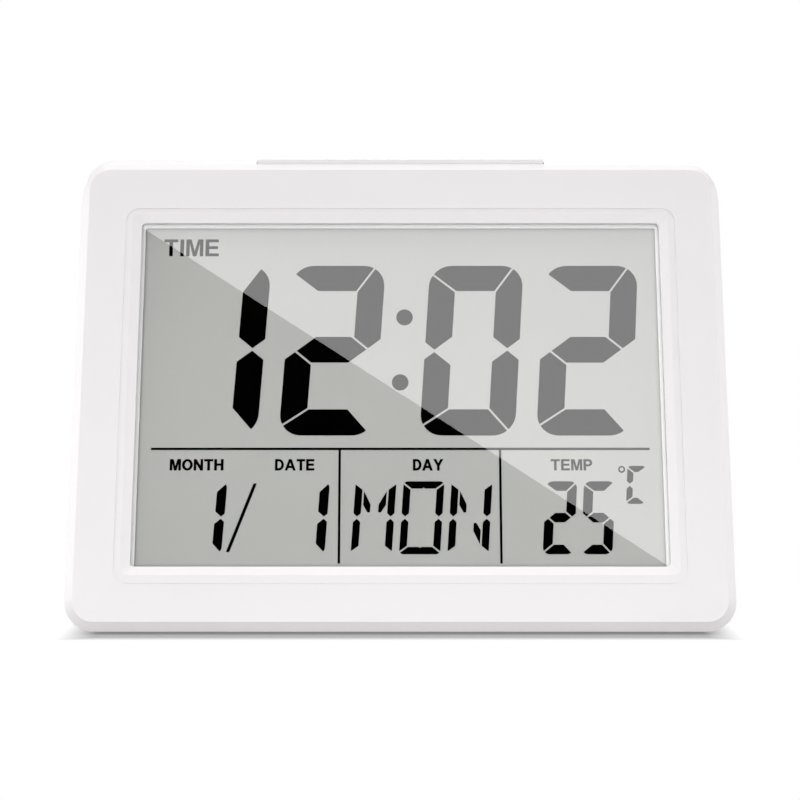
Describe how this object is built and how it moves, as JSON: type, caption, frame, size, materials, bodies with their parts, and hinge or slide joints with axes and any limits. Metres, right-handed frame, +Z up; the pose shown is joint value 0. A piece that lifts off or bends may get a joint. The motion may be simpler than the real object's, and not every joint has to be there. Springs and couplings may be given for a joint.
{
  "type": "desk alarm clock",
  "caption": "Wedge-shaped white desk clock with a large segmented LCD in a bevelled window, a snooze bar on top, rear keys and a hinged battery door.",
  "frame": {"origin": "on the resting surface under the feet, in the middle of the width and the depth", "axes": "+Z up, +X to the right seen from the front, the display looks along -Y and leans back 17 degrees"},
  "size_m": [0.188, 0.058, 0.1352],
  "materials": {
    "white_abs": "fine matte white ABS",
    "white_keys": "satin white ABS",
    "foam_tape": "double-sided foam tape",
    "clear_pane": "polished clear acrylic",
    "lcd_glass": "glass with front polariser",
    "lcd_rear": "glass with the display's grey layer",
    "reflector": "grey transflective film",
    "guide": "moulded acrylic",
    "led": "moulded lamp body",
    "board": "green solder mask",
    "elastomer": "layered silicone rubber",
    "black_epoxy": "black epoxy",
    "metal_can": "pressed can",
    "lcd_segment": "dark liquid crystal layer",
    "nickel_steel": "nickel plated",
    "spring_steel": "drawn wire",
    "black_switch": "moulded black",
    "screw_steel": "zinc plated",
    "sounder_brass": "rolled brass",
    "ribbon": "flat PVC cable",
    "foot_rubber": "matte black rubber"
  },
  "bodies": {
    "clock": {"front_housing": "white_abs", "rear_housing": "white_abs", "window_adhesive": "foam_tape", "display_window": "clear_pane", "lcd_front_glass": "lcd_glass", "lcd_rear_glass": "lcd_rear", "lcd_reflector_film": "reflector", "display_frame": "white_abs", "light_guide": "guide", "backlight_led": "led", "display_board": "board", "connector_strip": "elastomer", "controller_chip": "black_epoxy", "quartz_crystal": "metal_can", "circuit_components": "black_epoxy", "display_screws": "screw_steel", "lcd_time_digits": "lcd_segment", "lcd_calendar_digits": "lcd_segment", "lcd_temperature_digits": "lcd_segment", "lcd_rules": "lcd_segment", "battery_springs": "nickel_steel", "battery_plates": "nickel_steel", "snooze_springs": "spring_steel", "snooze_board": "board", "snooze_switch": "black_switch", "tact_switches": "black_switch", "key_board": "board", "key_board_screws": "screw_steel", "slide_switch": "metal_can", "piezo_sounder": "sounder_brass", "temperature_sensor": "black_epoxy", "ribbon_cable": "ribbon", "case_screws": "screw_steel", "rubber_feet": "foot_rubber"},
    "snooze": {"snooze_bar": "white_abs"},
    "battery_cover": {"battery_door": "white_abs"},
    "alarm_slider": {"alarm_switch_knob": "white_keys", "slide_switch_lever": "black_switch"},
    "time_key": {"time_button": "white_keys"},
    "alarm_key": {"alarm_button": "white_keys"},
    "up_key": {"up_button": "white_keys"},
    "down_key": {"down_button": "white_keys"},
    "unit_key": {"unit_button": "white_keys"}
  },
  "joints": [
    {"name": "snooze_press", "type": "slide", "parent": "clock", "child": "snooze", "axis": [0, 0, -1], "range_m": [0, 0.001], "stiffness_N_per_m": 1000, "springref_m": -0.001, "deforming": ["snooze_springs"]},
    {"name": "battery_door_hinge", "type": "hinge", "parent": "clock", "child": "battery_cover", "pos_m": [0, 0.028, 0.0123], "axis": [-1, 0, 0], "range_deg": [0, 90]},
    {"name": "alarm_slide", "type": "slide", "parent": "clock", "child": "alarm_slider", "axis": [1, 0, 0], "range_m": [0, 0.003]},
    {"name": "time_press", "type": "slide", "parent": "clock", "child": "time_key", "axis": [0, -1, 0], "range_m": [0, 0.0008], "stiffness_N_per_m": 1000, "springref_m": -0.0005},
    {"name": "alarm_press", "type": "slide", "parent": "clock", "child": "alarm_key", "axis": [0, -1, 0], "range_m": [0, 0.0008], "stiffness_N_per_m": 1000, "springref_m": -0.0005},
    {"name": "up_press", "type": "slide", "parent": "clock", "child": "up_key", "axis": [0, -1, 0], "range_m": [0, 0.0008], "stiffness_N_per_m": 1000, "springref_m": -0.0005},
    {"name": "down_press", "type": "slide", "parent": "clock", "child": "down_key", "axis": [0, -1, 0], "range_m": [0, 0.0008], "stiffness_N_per_m": 1000, "springref_m": -0.0005},
    {"name": "unit_press", "type": "slide", "parent": "clock", "child": "unit_key", "axis": [0, -1, 0], "range_m": [0, 0.0008], "stiffness_N_per_m": 1000, "springref_m": -0.0005}
  ]
}
